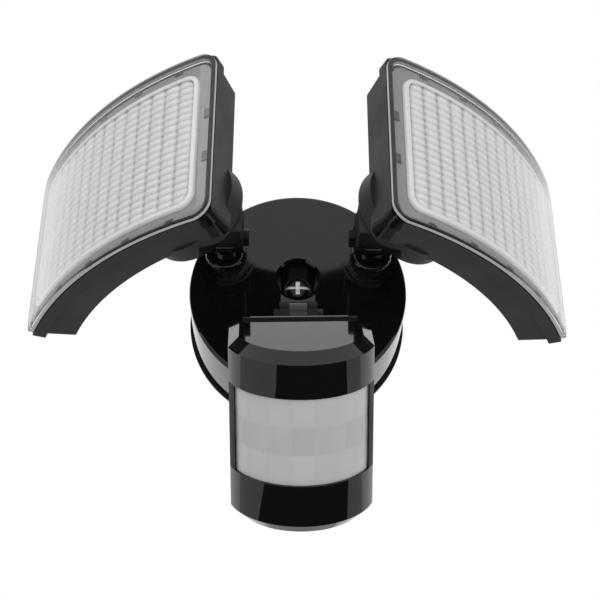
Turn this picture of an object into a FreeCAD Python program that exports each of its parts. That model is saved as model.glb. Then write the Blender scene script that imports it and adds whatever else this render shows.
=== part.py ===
"""Twin-head motion sensor security light for a wall.

Millimetres. +Z is up, the viewer stands on the -Y side and the wall is the plane Y = 0.
The origin is the centre of the junction-box screw pattern, on the wall.
"""
import FreeCAD, Part
import Sketcher
import math
import os
import re
from FreeCAD import Placement, Rotation, Vector

# Driving dimensions, in millimetres and degrees.
SIZES = {
    # canopy
    "canopy_radius": 60.0,
    "canopy_depth": 45.0,
    "canopy_wall": 2.6,
    "canopy_edge": 2.0,
    "gasket_thick": 2.5,
    "gasket_radius": 61.5,
    "gasket_bore": 55.0,
    "recess_radius": 11.6,
    "recess_height": 7.2,
    "recess_floor": 30.0,
    "recess_mouth": 1.2,
    "bolt_radius": 2.3,
    "bolt_head_radius": 6.8,
    "bolt_head_thick": 3.2,
    "bolt_seal_thick": 0.8,
    "bolt_gap": 0.15,
    # crossbar
    "bar_half_length": 53.0,
    "bar_half_width": 10.0,
    "bar_thick": 2.0,
    "bar_wall_gap": 0.2,
    "box_screw_spacing": 88.9,
    "slot_width": 5.0,
    "slot_length": 12.0,
    "ground_screw_drop": 14.0,
    # arm stations
    "station_out": 40.0,
    "station_up": 18.0,
    "sensor_station_drop": 27.0,
    "pad_radius": 15.0,
    "pad_thick": 2.0,
    "step_radius": 13.0,
    "step_thick": 1.5,
    "sensor_pad_half_width": 9.5,
    "sensor_pad_top": 2.0,
    "sensor_pad_bottom": 42.0,
    "sensor_pad_thick": 1.0,
    "sensor_pad_slope": 1.6,
    "sensor_step_radius": 9.4,
    "sensor_stem_radius": 5.0,
    "sensor_collar_radius": 8.6,
    "sensor_collar_edge": 1.8,
    "sensor_retainer_radius": 7.4,
    "stem_radius": 6.25,
    "running_gap": 0.06,
    "boss_radius": 9.5,
    "boss_end": 34.0,
    "stem_bore": 3.5,
    "stem_inner_end": 29.0,
    "collar_radius": 11.5,
    "collar_length": 8.0,
    "collar_edge": 2.4,
    "retainer_radius": 9.0,
    "retainer_thick": 1.4,
    # knuckles
    "pivot_depth": 72.0,
    "sensor_pivot_depth": 66.0,
    "lug_radius": 8.5,
    "lug_half_width": 4.6,
    "ear_gap": 0.4,
    "ear_thick": 5.0,
    "tilt_bolt_radius": 2.5,
    "tilt_head_radius": 4.6,
    "tilt_head_thick": 3.0,
    # lamp heads, measured from the axis of the curved lens
    "head_tilt": 8.0,
    "degrees_per_radian": 57.29578,
    "arc_axis_in": 78.0,
    "arc_axis_back": 100.5,
    "head_up": 10.0,
    "lens_radius": 197.0,
    "head_height": 108.0,
    "arc_start": 24.9,
    "arc_end": 70.5,
    "corner_radius": 10.0,
    "end_step": 1.5,
    "lens_wall": 2.2,
    "skirt_depth": 2.8,
    "skirt_width": 2.6,
    "rim_width": 3.4,
    "rim_depth": 2.7,
    "gasket_strip": 0.6,
    "flange_thick": 6.7,
    "flange_step": 2.5,
    "housing_depth": 26.4,
    "housing_taper": 3.0,
    "housing_corner": 4.0,
    "housing_wall": 3.0,
    "hub_angle": 33.6,
    "hub_drop": 12.5,
    "hub_radius": 28.0,
    "hub_thick": 9.0,
    "diffuser_inset": 10.0,
    "diffuser_thick": 2.0,
    "reflector_inset": 4.2,
    "reflector_thick": 1.6,
    "board_inset": 14.0,
    "board_thick": 1.6,
    "led_size": 5.0,
    "led_thick": 0.9,
    "led_columns": 6,
    "led_rows": 4,
    "led_pitch_up": 18.0,
    "led_pitch_turn": 5.6,
    "led_window": 8.0,
    "driver_length": 42.0,
    "driver_width": 22.0,
    "driver_depth": 9.0,
    "screw_radius": 1.9,
    "screw_head_radius": 3.4,
    "screw_gap": 0.1,
    # sensor, measured from its own knuckle
    "sensor_tilt": 45.0,
    "sensor_turn": -1.5,
    "sensor_radius": 38.1,
    "sensor_half_width": 36.2,
    "sensor_axis_out": 45.1,
    "sensor_back_out": 26.1,
    "hood_top": 10.5,
    "hood_low": 12.6,
    "window_low": 58.7,
    "cap_low": 85.8,
    "sensor_bevel": 5.4,
    "sensor_wall": 2.2,
    "post_width": 2.7,
    "window_inset": 1.2,
    "window_thick": 1.5,
    "dial_radius": 5.5,
    "dial_out": 2.6,
    "dial_spread": 13.0,
    "dial_gap": 0.08,
}

document = FreeCAD.newDocument("SecurityLight")
sheet = document.addObject("Spreadsheet::Sheet", "Sizes")
for row, (alias, value) in enumerate(SIZES.items(), 1):
    sheet.set(f"A{row}", alias)
    sheet.set(f"B{row}", str(value))
    sheet.setAlias(f"B{row}", alias)
document.recompute()

TO_VIEWER = Rotation(Vector(1, 0, 0), 90)
TO_RIGHT = Rotation(Vector(0, 1, 0), 90)
UPRIGHT = Rotation()
SUB_PARTS = []


# ---------------------------------------------------------------- helpers

def in_sheet(expression):
    """The expression with each driving dimension named as a cell of the sheet."""
    return re.sub(r"[a-z_]+", lambda word: ("Sizes." if word.group() in SIZES else "") + word.group(),
                  str(expression))


def size(expression):
    """The present value of an expression in the driving dimensions."""
    return float(sheet.evalExpression(in_sheet(expression)))


def bind(thing, settings):
    """Bind each property of a thing to an expression in the driving dimensions."""
    for path, expression in settings.items():
        thing.setExpression(path, in_sheet(expression))


def put(thing, at, turn=UPRIGHT):
    """Place a thing, its three coordinates bound to the sheet."""
    thing.Placement = Placement(Vector(), turn)
    bind(thing, {f"Placement.Base.{axis}": value for axis, value in zip("xyz", at)})
    return thing


def cylinder(name, radius, length, at=(0, 0, 0), turn=TO_VIEWER, sweep="360"):
    rod = document.addObject("Part::Cylinder", name)
    bind(rod, {"Radius": radius, "Height": length, "Angle": sweep})
    return put(rod, at, turn)


def cone(name, radius, end_radius, length, at, turn=TO_VIEWER):
    taper = document.addObject("Part::Cone", name)
    bind(taper, {"Radius1": radius, "Radius2": end_radius, "Height": length})
    return put(taper, at, turn)


def block(name, low, spans, turn=UPRIGHT):
    """A box from its low corner and its three spans."""
    box = document.addObject("Part::Box", name)
    bind(box, {"Length": spans[0], "Width": spans[1], "Height": spans[2]})
    return put(box, low, turn)


def fuse(name, *shapes):
    joined = document.addObject("Part::MultiFuse", name)
    joined.Shapes = list(shapes)
    return joined


def group(name, *shapes):
    """Separate solids that share one node."""
    together = document.addObject("Part::Compound", name)
    together.Links = list(shapes)
    return together


def cut(name, base, tool):
    rest = document.addObject("Part::Cut", name)
    rest.Base = base
    rest.Tool = tool
    return rest


def common(name, first, second):
    shared = document.addObject("Part::MultiCommon", name)
    shared.Shapes = [first, second]
    return shared


def round_edges(name, base, radius, chosen, kind="Part::Fillet", second=None):
    """Fillet or chamfer the edges that the test picks."""
    document.recompute()
    result = document.addObject(kind, name)
    result.Base = base
    first, last = size(radius), size(second or radius)
    edges = enumerate(base.Shape.Edges, 1)
    result.Edges = [(number, first, last) for number, edge in edges if chosen(edge)]
    return result


def finish(thing, label, placement=None):
    """Give a sub-part its label and its place, and list it for the hand-in."""
    if placement is not None:
        thing = group(label + "_placed", thing)
        thing.Placement = placement
    thing.Label = label
    SUB_PARTS.append(thing)
    return thing


def body_with_sketch(name, role):
    """A PartDesign body with one sketch on one of its own origin planes."""
    body = document.addObject("PartDesign::Body", name)
    sketch = body.newObject("Sketcher::SketchObject", name + "_outline")
    plane = next(item for item in body.Origin.OriginFeatures if item.Role == role)
    sketch.AttachmentSupport = (plane, [""])
    sketch.MapMode = "FlatFace"
    return body, sketch


def pin_point(sketch, edge, end, x, y):
    """Bind a sketch point's two coordinates to the sheet."""
    for kind, value in (("DistanceX", x), ("DistanceY", y)):
        row = sketch.addConstraint(Sketcher.Constraint(kind, -1, 1, edge, end, size(value)))
        sketch.setExpression(f"Constraints[{row}]", in_sheet(value))


def draw_polygon(sketch, corners):
    """A closed outline through corners whose coordinates are expressions."""
    points = [Vector(size(x), size(y), 0) for x, y in corners]
    count = len(points)
    for number in range(count):
        sketch.addGeometry(Part.LineSegment(points[number], points[(number + 1) % count]))
    for number in range(count):
        following = (number + 1) % count
        sketch.addConstraint(Sketcher.Constraint("Coincident", number, 2, following, 1))
        pin_point(sketch, number, 1, *corners[number])


def revolve(name, role, corners, angle="360"):
    """A body turned about the vertical axis of its sketch, evenly to both sides of it."""
    body, sketch = body_with_sketch(name, role)
    draw_polygon(sketch, corners)
    turned = body.newObject("PartDesign::Revolution", name + "_turned")
    turned.Profile = sketch
    turned.ReferenceAxis = (sketch, ["V_Axis"])
    turned.Midplane = True
    bind(turned, {"Angle": angle})
    body.Tip = turned
    return body


def pad(name, role, corners, length):
    """A body made by padding a polygon evenly to both sides of its sketch."""
    body, sketch = body_with_sketch(name, role)
    draw_polygon(sketch, corners)
    padded = body.newObject("PartDesign::Pad", name + "_padded")
    padded.Profile = sketch
    padded.Midplane = True
    bind(padded, {"Length": length})
    body.Tip = padded
    return body



# ---------------------------------------------------------------- canopy group

STATIONS = {
    "left": ("-station_out", "station_up"),
    "right": ("station_out", "station_up"),
    "sensor": ("0", "-sensor_station_drop"),
}


def stem_size(arm, what):
    """The name of a stem dimension: the sensor's arm is slimmer than the lamp arms."""
    return ("sensor_" if arm == "sensor" else "") + what


def make_canopy():
    shell = revolve("canopy_shell", "XY_Plane", [
        ("0", "-canopy_depth"),
        ("canopy_radius", "-canopy_depth"),
        ("canopy_radius", "-gasket_thick"),
        ("canopy_radius - canopy_wall", "-gasket_thick"),
        ("canopy_radius - canopy_wall", "canopy_wall - canopy_depth"),
        ("0", "canopy_wall - canopy_depth"),
    ])
    front = -size("canopy_depth")
    rim = size("canopy_radius")
    drum = round_edges("canopy_drum", shell, "canopy_edge", lambda edge: (
        abs(edge.BoundBox.YMin - front) < 0.01 and edge.BoundBox.XLength > rim))
    solids = [drum]
    solids.append(cylinder("recess_wall", "recess_radius + canopy_wall", "canopy_depth - recess_floor + canopy_wall",
                           ("0", "canopy_wall - recess_floor", "recess_height")))
    solids.append(pad("sensor_pad", "YZ_Plane", [
        ("canopy_wall - canopy_depth", "-sensor_pad_bottom"),
        ("-canopy_depth - sensor_pad_thick - sensor_pad_slope", "-sensor_pad_bottom"),
        ("-canopy_depth - sensor_pad_thick", "-sensor_pad_top"),
        ("canopy_wall - canopy_depth", "-sensor_pad_top")], "2 * sensor_pad_half_width"))
    holes = [
        cylinder("recess_bore", "recess_radius", "canopy_depth", ("0", "-recess_floor", "recess_height")),
        cone("recess_lead", "recess_radius", "recess_radius + 2 * recess_mouth", "2 * recess_mouth",
             ("0", "recess_mouth - canopy_depth", "recess_height")),
        cylinder("bolt_way", "bolt_radius + 4 * bolt_gap", "canopy_depth", ("0", "0", "recess_height")),
    ]
    for arm, (out, up) in STATIONS.items():
        if arm != "sensor":
            solids.append(cylinder(arm + "_pad", "pad_radius", "pad_thick + canopy_wall",
                                   (out, "canopy_wall - canopy_depth", up)))
        solids.append(cylinder(arm + "_step", stem_size(arm, "step_radius"), "pad_thick + step_thick",
                               (out, "-canopy_depth", up)))
        solids.append(cylinder(arm + "_boss", "boss_radius", "canopy_depth - boss_end",
                               (out, "-boss_end", up)))
        holes.append(cylinder(arm + "_station_bore", stem_size(arm, "stem_radius") + " + running_gap",
                              "canopy_depth", (out, "canopy_wall - boss_end", up)))
    finish(cut("canopy_cut", fuse("canopy_solids", *solids), fuse("canopy_holes", *holes)), "canopy")


def make_wall_fixings():
    gasket = cut("gasket_cut", cylinder("gasket_disc", "gasket_radius", "gasket_thick"),
                 cylinder("gasket_hole", "gasket_bore", "gasket_thick"))
    finish(gasket, "wall_gasket")

    strap = block("strap", ("-bar_half_width", "-bar_wall_gap - bar_thick", "-bar_half_length"),
                  ("2 * bar_half_width", "bar_thick", "2 * bar_half_length"))
    openings = [
        cylinder("strap_bolt_hole", "bolt_radius + bolt_gap", "3 * bar_thick", ("0", "0", "recess_height")),
        cylinder("strap_ground_hole", "screw_radius + bolt_gap", "3 * bar_thick", ("0", "0", "-ground_screw_drop")),
    ]
    straight = "(slot_length - slot_width) / 2"
    for end, side in (("top", "1"), ("bottom", "-1")):
        middle = f"{side} * box_screw_spacing / 2"
        openings.append(block(end + "_slot", ("-slot_width / 2", "-3 * bar_thick", f"{middle} - {straight}"),
                              ("slot_width", "3 * bar_thick", f"2 * {straight}")))
        for way in ("1", "-1"):
            openings.append(cylinder(f"{end}_slot_end", "slot_width / 2", "3 * bar_thick",
                                     ("0", "0", f"{middle} + {way} * {straight}")))
    finish(cut("crossbar_cut", strap, fuse("strap_openings", *openings)), "crossbar")

    head = cylinder("bolt_head", "bolt_head_radius", "bolt_head_thick",
                    ("0", "-recess_floor - bolt_seal_thick", "recess_height"))
    front = -size("recess_floor + bolt_seal_thick + bolt_head_thick")
    domed = round_edges("bolt_dome", head, "bolt_head_thick * 0.75",
                        lambda edge: abs(edge.BoundBox.YMax - front) < 0.01)
    shank = cylinder("bolt_shank", "bolt_radius", "recess_floor + bolt_seal_thick - bar_wall_gap",
                     ("0", "-bar_wall_gap", "recess_height"))
    finish(cut("bolt_cut", fuse("bolt_solid", domed, shank),
               cross_recess("bolt_cross", front, "recess_height", "bolt_head_radius")), "canopy_bolt")

    seal = cut("seal_cut", cylinder("seal_disc", "bolt_head_radius + bolt_seal_thick", "bolt_seal_thick",
                                    ("0", "-recess_floor", "recess_height")),
               cylinder("seal_hole", "bolt_radius + bolt_gap", "bolt_seal_thick",
                        ("0", "-recess_floor", "recess_height")))
    finish(seal, "bolt_seal")

    strap_front = "-bar_wall_gap - bar_thick"
    screw = fuse("ground_solid",
                 cylinder("ground_shank", "screw_radius", "bar_thick + bar_wall_gap",
                          ("0", "-bar_wall_gap", "-ground_screw_drop")),
                 cylinder("ground_head", "1.2 * screw_head_radius", "screw_radius",
                          ("0", strap_front, "-ground_screw_drop")))
    front = size(strap_front) - size("screw_radius")
    finish(cut("ground_cut", screw, cross_recess("ground_cross", front, "-ground_screw_drop", "screw_head_radius")),
           "ground_screw")


def cross_recess(name, front, height, reach):
    """The cross-shaped driver recess in a screw head that faces the viewer."""
    arm, half_width, depth = size(reach) * 0.5, size(reach) * 0.11, size(reach) * 0.3
    middle = size(height)
    wings = []
    for number, (wide, tall) in enumerate(((arm, half_width), (half_width, arm))):
        wings.append(block(f"{name}_{number}", (-wide, front, middle - tall), (2 * wide, depth, 2 * tall)))
    return fuse(name, *wings)


def make_collars():
    """The three round collars that clamp the arm stems against the canopy."""
    collars = []
    for arm, (out, up) in STATIONS.items():
        seat = "-canopy_depth - pad_thick - step_thick"
        ring = cylinder(arm + "_collar_disc", stem_size(arm, "collar_radius"), "collar_length", (out, seat, up))
        front = size(seat) - size("collar_length")
        rounded = round_edges(arm + "_collar_round", ring, stem_size(arm, "collar_edge"),
                              lambda edge: abs(edge.BoundBox.YMax - front) < 0.01)
        hole = cylinder(arm + "_collar_hole", stem_size(arm, "stem_radius") + " + running_gap", "collar_length",
                        (out, seat, up))
        collars.append(cut(arm + "_collar_cut", rounded, hole))
    finish(group("collar_group", *collars), "lock_collars")


def make_wire_nuts():
    """Three twist-on connectors that lie in the canopy."""
    places = (("-bar_half_length / 2 - 2", "-bar_half_length / 2"),
              ("bar_half_length / 2 + 2", "-bar_half_length / 2"),
              ("0", "0.8 * bar_half_length"))
    nuts = []
    for number, (out, up) in enumerate(places):
        nuts.append(cone(f"wire_nut_{number}", "6", "3.6", "17", (out, "-8", up)))
    finish(group("wire_nut_group", *nuts), "wire_nuts")


# ---------------------------------------------------------------- arms and knuckles

def make_arm(arm):
    """A stem that turns in the canopy, its lug, and the ring that keeps it in."""
    out, up = STATIONS[arm]
    pivot = stem_size(arm, "pivot_depth")
    stem = cylinder(arm + "_stem", stem_size(arm, "stem_radius"), f"{pivot} - stem_inner_end - lug_radius - ear_gap",
                    (out, "-stem_inner_end", up))
    lug = cylinder(arm + "_lug", "lug_radius", "2 * lug_half_width",
                   (f"{out} - lug_half_width", "-" + pivot, up), TO_RIGHT)
    web = block(arm + "_web", (f"{out} - lug_half_width", "-" + pivot, f"{up} - 0.55 * lug_radius"),
                ("2 * lug_half_width", "lug_radius + 2 * ear_gap", "1.1 * lug_radius"))
    pin_hole = cylinder(arm + "_pin_hole", "tilt_bolt_radius + running_gap", "4 * lug_half_width",
                        (f"{out} - 2 * lug_half_width", "-" + pivot, up), TO_RIGHT)
    wire_way = cylinder(arm + "_wire_way", "stem_bore", f"{pivot} - stem_inner_end - 2 * lug_radius",
                        (out, "-stem_inner_end", up))
    finish(cut(arm + "_arm_cut", fuse(arm + "_arm_solid", stem, lug, web),
               fuse(arm + "_arm_holes", pin_hole, wire_way)), arm + "_arm", turned_stem(arm))

    seat = "retainer_thick + 2 * bolt_gap - boss_end"
    ring = cylinder(arm + "_ring_disc", stem_size(arm, "retainer_radius"), "retainer_thick", (out, seat, up))
    hole = cylinder(arm + "_ring_hole", stem_size(arm, "stem_radius"), "retainer_thick", (out, seat, up))
    finish(cut(arm + "_ring_cut", ring, hole), arm + "_retainer")


def turned_stem(arm):
    """How an arm is turned in its station; the photograph shows the sensor's slightly turned."""
    out, up = STATIONS[arm]
    turn = size("sensor_turn") if arm == "sensor" else 0
    return Placement(Vector(), Rotation(Vector(0, 1, 0), turn), Vector(size(out), 0, size(up)))


def knuckle_pose(arm):
    """Where an arm's knuckle is, and how far the thing on it is turned and tilted."""
    out, up = STATIONS[arm]
    place = Vector(size(out), -size(stem_size(arm, "pivot_depth")), size(up))
    tilt = size("sensor_tilt") if arm == "sensor" else -size("head_tilt")
    return turned_stem(arm) * Placement(place, Rotation(Vector(1, 0, 0), tilt))


def clevis(name, outline):
    """Two ears round the lug, on a neck whose side view is the outline (y, z)."""
    half = "(lug_half_width + ear_gap + ear_thick)"
    neck = pad(name + "_neck", "YZ_Plane", outline, f"2 * {half}")
    barrel = cylinder(name + "_barrel", "lug_radius", f"2 * {half}", (f"-{half}", "0", "0"), TO_RIGHT)
    slot = block(name + "_slot", ("-lug_half_width - ear_gap", "-1.25 * lug_radius", "-2 * lug_radius"),
                 ("2 * (lug_half_width + ear_gap)", "4 * lug_radius", "4 * lug_radius"))
    return fuse(name + "_clevis", neck, barrel), fuse(name + "_gaps", slot, cylinder(
        name + "_ear_hole", "tilt_bolt_radius + running_gap", f"3 * {half}", (f"-1.5 * {half}", "0", "0"), TO_RIGHT))


def make_tilt_bolt(arm, place):
    """The bolt through a knuckle, its head outwards, and its nut."""
    half = "(lug_half_width + ear_gap + ear_thick)"
    bolt = fuse(arm + "_tilt_bolt_solid",
                cylinder(arm + "_tilt_shank", "tilt_bolt_radius", f"2 * {half} + tilt_head_thick",
                         (f"-{half} - tilt_head_thick", "0", "0"), TO_RIGHT),
                cylinder(arm + "_tilt_head", "tilt_head_radius", "tilt_head_thick", (half, "0", "0"), TO_RIGHT))
    socket = document.addObject("Part::Prism", arm + "_tilt_socket")
    bind(socket, {"Circumradius": "tilt_bolt_radius", "Height": "tilt_head_thick"})
    put(socket, (f"{half} + 0.4 * tilt_head_thick", "0", "0"), TO_RIGHT)
    finish(cut(arm + "_tilt_bolt_cut", bolt, socket), arm + "_tilt_bolt", place)

    hexagon = document.addObject("Part::Prism", arm + "_hexagon")
    bind(hexagon, {"Circumradius": "1.1 * tilt_head_radius", "Height": "tilt_head_thick"})
    put(hexagon, (f"-{half} - tilt_head_thick", "0", "0"), TO_RIGHT)
    hole = cylinder(arm + "_nut_hole", "tilt_bolt_radius", "tilt_head_thick",
                    (f"-{half} - tilt_head_thick", "0", "0"), TO_RIGHT)
    finish(cut(arm + "_tilt_nut_cut", hexagon, hole), arm + "_tilt_nut", place)


# ---------------------------------------------------------------- lamp heads

def head_turn(side, angle):
    """The turn about the lens axis that takes +X to an angle outwards from the viewer."""
    return Rotation(Vector(0, 0, 1), side * angle - 90)


def arc_body(name, side, corners, inset="0"):
    """A body turned round the lens axis; corners are (radius, height from the middle)."""
    span = f"arc_end - arc_start - 2 * ({inset}) / lens_radius * degrees_per_radian"
    body = revolve(name, "XZ_Plane", corners, span)
    middle = size("(arc_start + arc_end) / 2")
    return put(body, (f"{-side} * arc_axis_in", "arc_axis_back", "head_up"), head_turn(side, middle))


def arc_plate(name, side, outer, inner, inset, corner=None):
    """A curved plate between two radii, inset from the head's outline, corners rounded."""
    half = f"(head_height / 2 - ({inset}))"
    body = arc_body(name, side, [(inner, f"-{half}"), (outer, f"-{half}"), (outer, half), (inner, half)], inset)
    return round_edges(name + "_round", body, corner, is_radial) if corner else body


def is_radial(edge):
    """True for the straight edges that run from the back of a plate to its front."""
    first, last = edge.Vertexes[0].Point, edge.Vertexes[-1].Point
    return isinstance(edge.Curve, Part.Line) and abs(first.z - last.z) < 0.6 * edge.Length


def on_arc(side, radius, angle, up):
    """The point of a head at a radius and angle about the lens axis, at a height."""
    turn = math.radians(angle)
    out = size(radius) * math.sin(turn) - size("arc_axis_in")
    return Vector(side * out, size("arc_axis_back") - size(radius) * math.cos(turn), up)


def radial_rod(name, side, radius, length, start, angle, up, outwards=True):
    """A rod along a radius of the lens, from a start radius."""
    rod = document.addObject("Part::Cylinder", name)
    bind(rod, {"Radius": radius, "Height": length})
    along = on_arc(side, "1", angle, 0) - on_arc(side, "0", angle, 0)
    rod.Placement = Placement(on_arc(side, start, angle, up), Rotation(Vector(0, 0, 1), along if outwards else -along))
    return rod


def radial_box(name, side, spans, start, angle, up):
    """A box square to a radius of the lens: depth, width round the arc and height."""
    box = document.addObject("Part::Box", name)
    bind(box, {"Length": spans[0], "Width": spans[1], "Height": spans[2]})
    offset = Placement(Vector(0, -size(spans[1]) / 2, -size(spans[2]) / 2), Rotation())
    box.Placement = Placement(on_arc(side, start, angle, up), head_turn(side, angle)) * offset
    return box


def make_housing(arm, side, place):
    """Flange, tapered back, round hub and clevis, hollowed out for the driver and board."""
    front = "lens_radius - skirt_depth - gasket_strip"
    back = f"{front} - flange_thick"
    rear = "lens_radius - housing_depth"
    wide = "head_height / 2 - flange_step"
    slim = f"{wide} - housing_taper"
    flange = arc_plate(arm + "_flange", side, front, back, "0", "housing_corner + end_step")
    tub = round_edges(arm + "_tub_round", arc_body(arm + "_tub", side, [
        (rear, f"-({slim})"), (f"{back} + 1", f"-({wide})"), (f"{back} + 1", wide), (rear, slim)], "end_step"),
        "housing_corner", is_radial)
    hub = radial_rod(arm + "_hub", side, "hub_radius", "hub_thick + housing_wall", f"{rear} + housing_wall",
                     size("hub_angle"), -size("hub_drop"), False)
    document.recompute()
    hub_back = on_arc(side, f"{rear} - hub_thick", size("hub_angle"), -size("hub_drop"))
    soft_hub = round_edges(arm + "_hub_round", hub, "hub_thick / 3", lambda edge: (
        edge.CenterOfMass.distanceToPoint(hub_back) < 1))
    neck, gaps = clevis(arm + "_head", [
        ("0", "lug_radius"), ("-12", "7"), ("-30", "-4"), ("-46", "-10"), ("-46", "-30"), ("-30", "-26"),
        ("0", "-lug_radius")])
    outer = fuse(arm + "_housing_solids", flange, tub, soft_hub, neck)
    cavity = arc_body(arm + "_cavity", side, [
        (f"{rear} + housing_wall", f"-({slim} - housing_wall)"), (f"{front} + 1", f"-({wide} - housing_wall)"),
        (f"{front} + 1", f"{wide} - housing_wall"), (f"{rear} + housing_wall", f"{slim} - housing_wall")],
        "end_step + housing_wall")
    pocket = arc_plate(arm + "_pocket", side, f"{front} + 1", f"{front} - rim_depth", "rim_width",
                       "corner_radius - rim_width")
    holes = [cavity, pocket, gaps]
    for number, (angle, up) in enumerate(screw_places()):
        holes.append(radial_rod(f"{arm}_screw_way_{number}", side, "screw_radius + bolt_gap", "3 * housing_wall",
                                f"{rear} - housing_wall", angle, up))
    finish(cut(arm + "_housing_cut", outer, fuse(arm + "_housing_holes", *holes)), arm + "_housing", place)


def screw_places():
    """Angle and height of the three screws in the back of a head; the hub takes the fourth corner."""
    margin = 4.5
    angles = (size("arc_start") + margin, size("arc_end") - margin)
    reach = size("head_height / 2 - flange_step - housing_taper - 8")
    ups = (size("head_up") + reach, size("head_up") - reach)
    return [(angle, up) for angle in angles for up in ups if not near_hub(angle, up)]


def near_hub(angle, up):
    """True where a screw would sit under the hub."""
    across = math.radians(angle - size("hub_angle")) * size("lens_radius - housing_depth")
    return math.hypot(across, up + size("hub_drop")) < size("hub_radius") + 6


def make_head_trim(arm, side, place):
    """The clear lens, its gasket, the diffuser, the reflector, the board, leds and driver."""
    seat = "lens_radius - skirt_depth"
    inner_corner = "corner_radius - skirt_width"
    lens = cut(arm + "_lens_cut", arc_plate(arm + "_lens_outer", side, "lens_radius", seat, "0", "corner_radius"),
               arc_plate(arm + "_lens_inner", side, "lens_radius - lens_wall", f"{seat} - 1", "skirt_width",
                         inner_corner))
    finish(lens, arm + "_lens", place)

    strip = cut(arm + "_strip_cut", arc_plate(arm + "_strip_outer", side, seat, f"{seat} - gasket_strip",
                                              "gasket_strip", "corner_radius - gasket_strip"),
                arc_plate(arm + "_strip_inner", side, f"{seat} + 1", f"{seat} - gasket_strip - 1",
                          "skirt_width + gasket_strip", inner_corner))
    finish(strip, arm + "_lens_gasket", place)

    ledge = f"{seat} - gasket_strip - rim_depth"
    floor = f"{ledge} + 0.05"
    plate = arc_plate(arm + "_reflector_plate", side, f"{floor} + reflector_thick", floor, "reflector_inset",
                      inner_corner)
    spots = [(column, row) for column in range(int(size("led_columns"))) for row in range(int(size("led_rows")))]
    windows, leds = [], []
    for number, (column, row) in enumerate(spots):
        angle = size(f"(arc_start + arc_end) / 2 + ({column} - (led_columns - 1) / 2) * led_pitch_turn")
        up = size(f"head_up + ({row} - (led_rows - 1) / 2) * led_pitch_up")
        windows.append(radial_box(f"{arm}_window_{number}", side, ("6", "led_window", "led_window"),
                                  f"{ledge} - 2.4", angle, up))
        leds.append(radial_box(f"{arm}_led_{number}", side, ("led_thick", "led_size", "led_size"),
                               f"{ledge} - 2.4", angle, up))
    finish(cut(arm + "_reflector_cut", plate, fuse(arm + "_windows", *windows)), arm + "_reflector", place)
    finish(group(arm + "_led_group", *leds), arm + "_leds", place)

    finish(arc_plate(arm + "_board_plate", side, f"{ledge} - 2.5", f"{ledge} - 2.5 - board_thick",
                     "board_inset", "3"), arm + "_led_board", place)
    top = "lens_radius - lens_wall - 0.2"
    finish(arc_plate(arm + "_diffuser_plate", side, top, f"{top} - diffuser_thick", "diffuser_inset", "5"),
           arm + "_diffuser", place)

    finish(radial_box(arm + "_driver_box", side, ("driver_depth", "driver_length", "driver_width"),
                      "lens_radius - housing_depth + housing_wall + 0.2", size("arc_start + 14"),
                      size("head_up + 14")), arm + "_driver", place)

    screws = []
    rear = "lens_radius - housing_depth"
    for number, (angle, up) in enumerate(screw_places()):
        screws.append(fuse(f"{arm}_screw_{number}",
                           radial_rod(f"{arm}_screw_shank_{number}", side, "screw_radius", "4 * housing_wall",
                                      f"{rear} - screw_gap", angle, up),
                           radial_rod(f"{arm}_screw_head_{number}", side, "screw_head_radius", "screw_radius",
                                      f"{rear} - screw_gap", angle, up, False)))
    finish(group(arm + "_screw_group", *screws), arm + "_housing_screws", place)


# ---------------------------------------------------------------- sensor

def d_outline(body, name, inset, level):
    """A D-shaped sketch in a body: flat back and sides, round front, inset, at a level."""
    sketch = body.newObject("Sketcher::SketchObject", name)
    plane = next(item for item in body.Origin.OriginFeatures if item.Role == "XY_Plane")
    sketch.AttachmentSupport = [(plane, "")]
    sketch.MapMode = "FlatFace"
    bind(sketch, {"AttachmentOffset.Base.z": level})
    axis = -size("sensor_axis_out")
    reach, side = size(f"sensor_radius - ({inset})"), size(f"sensor_half_width - ({inset})")
    shoulder = axis - math.sqrt(reach ** 2 - side ** 2)
    rear = -size(f"sensor_back_out + ({inset})")
    sketch.addGeometry(Part.LineSegment(Vector(-side, shoulder, 0), Vector(-side, rear, 0)))
    sketch.addGeometry(Part.LineSegment(Vector(-side, rear, 0), Vector(side, rear, 0)))
    sketch.addGeometry(Part.LineSegment(Vector(side, rear, 0), Vector(side, shoulder, 0)))
    sketch.addGeometry(Part.Arc(Vector(-side, shoulder, 0), Vector(0, axis - reach, 0), Vector(side, shoulder, 0)))
    sketch.addConstraint(Sketcher.Constraint("Coincident", 0, 2, 1, 1))
    sketch.addConstraint(Sketcher.Constraint("Coincident", 1, 2, 2, 1))
    sketch.addConstraint(Sketcher.Constraint("Coincident", 2, 2, 3, 2))
    sketch.addConstraint(Sketcher.Constraint("Coincident", 0, 1, 3, 1))
    sketch.addConstraint(Sketcher.Constraint("Vertical", 0))
    sketch.addConstraint(Sketcher.Constraint("Vertical", 2))
    pin_point(sketch, 1, 1, f"-(sensor_half_width - ({inset}))", f"-(sensor_back_out + ({inset}))")
    pin_point(sketch, 1, 2, f"sensor_half_width - ({inset})", f"-(sensor_back_out + ({inset}))")
    pin_point(sketch, 3, 3, "0", "-sensor_axis_out")
    row = sketch.addConstraint(Sketcher.Constraint("Radius", 3, reach))
    sketch.setExpression(f"Constraints[{row}]", in_sheet(f"sensor_radius - ({inset})"))
    return sketch


def d_block(name, inset, low, high):
    """A D-section block between two heights."""
    body = document.addObject("PartDesign::Body", name)
    padded = body.newObject("PartDesign::Pad", name + "_padded")
    padded.Profile = d_outline(body, name + "_outline", inset, low)
    bind(padded, {"Length": f"({high}) - ({low})"})
    body.Tip = padded
    return body


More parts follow.
